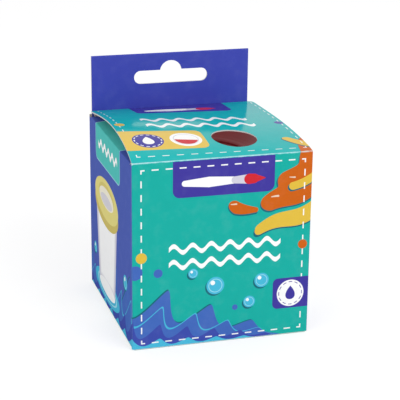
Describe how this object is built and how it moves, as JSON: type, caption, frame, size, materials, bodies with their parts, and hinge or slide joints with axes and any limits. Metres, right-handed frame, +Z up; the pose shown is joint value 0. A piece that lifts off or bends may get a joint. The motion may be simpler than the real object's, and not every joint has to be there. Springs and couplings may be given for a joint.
{
  "type": "boxed paint cup with lid",
  "caption": "Board carton with a hang tab, bowed tuck lid and round window, holding a spill-proof paint water cup with a push-on collar and funnel.",
  "frame": {"origin": "middle of the carton's base, where it stands", "axes": "+Z up, -Y is the front panel's outward direction, +X to the right seen from the front"},
  "size_m": [0.08, 0.084, 0.1114],
  "materials": {
    "board_teal": "glossy coated print",
    "board_indigo": "glossy coated print",
    "board_plain": "uncoated",
    "pot_red": "moulded, satin gloss",
    "pot_white": "moulded, slightly translucent"
  },
  "bodies": {
    "carton": {"front_panel": "board_teal", "back_panel": "board_indigo", "left_panel": "board_indigo", "right_panel": "board_indigo", "glue_strip": "board_plain", "hang_tab_rear": "board_indigo", "hang_tab_front": "board_indigo", "base_outer_flap": "board_teal", "base_inner_flap": "board_plain", "base_dust_left": "board_plain", "base_dust_right": "board_plain"},
    "lid": {"lid_panel": "board_teal"},
    "tuck": {"tuck_flap": "board_teal"},
    "dust_left": {"dust_flap_left": "board_indigo"},
    "dust_right": {"dust_flap_right": "board_indigo"},
    "cup": {"cup_body": "pot_white"},
    "pot_lid": {"lid_collar": "pot_red", "funnel_insert": "pot_red"}
  },
  "joints": [
    {"name": "lid_hinge", "type": "hinge", "parent": "carton", "child": "lid", "pos_m": [0, -0.04199, 0.0835], "axis": [1, 0, 0], "range_deg": [0, 180]},
    {"name": "tuck_hinge", "type": "hinge", "parent": "lid", "child": "tuck", "pos_m": [0, 0.04084, 0.0851], "axis": [1, 0, 0], "range_deg": [0, 72]},
    {"name": "dust_left_hinge", "type": "hinge", "parent": "carton", "child": "dust_left", "pos_m": [-0.04, 0, 0.083], "axis": [0, -1, 0], "range_deg": [0, 108]},
    {"name": "dust_right_hinge", "type": "hinge", "parent": "carton", "child": "dust_right", "pos_m": [0.04, 0, 0.083], "axis": [0, 1, 0], "range_deg": [0, 108]},
    {"name": "cup_lift", "type": "slide", "parent": "carton", "child": "cup", "axis": [0, 0, 1], "range_m": [0, 0.0013]},
    {"name": "pot_lid_turn", "type": "hinge", "parent": "cup", "child": "pot_lid", "pos_m": [0, 0, 0.07], "axis": [0, 0, 1], "continuous": true}
  ],
  "couplings": [
    {"joint": "tuck_hinge", "follows": "lid_hinge", "ratio": 0.4},
    {"joint": "dust_left_hinge", "follows": "lid_hinge", "ratio": 0.6},
    {"joint": "dust_right_hinge", "follows": "lid_hinge", "ratio": 0.6}
  ]
}
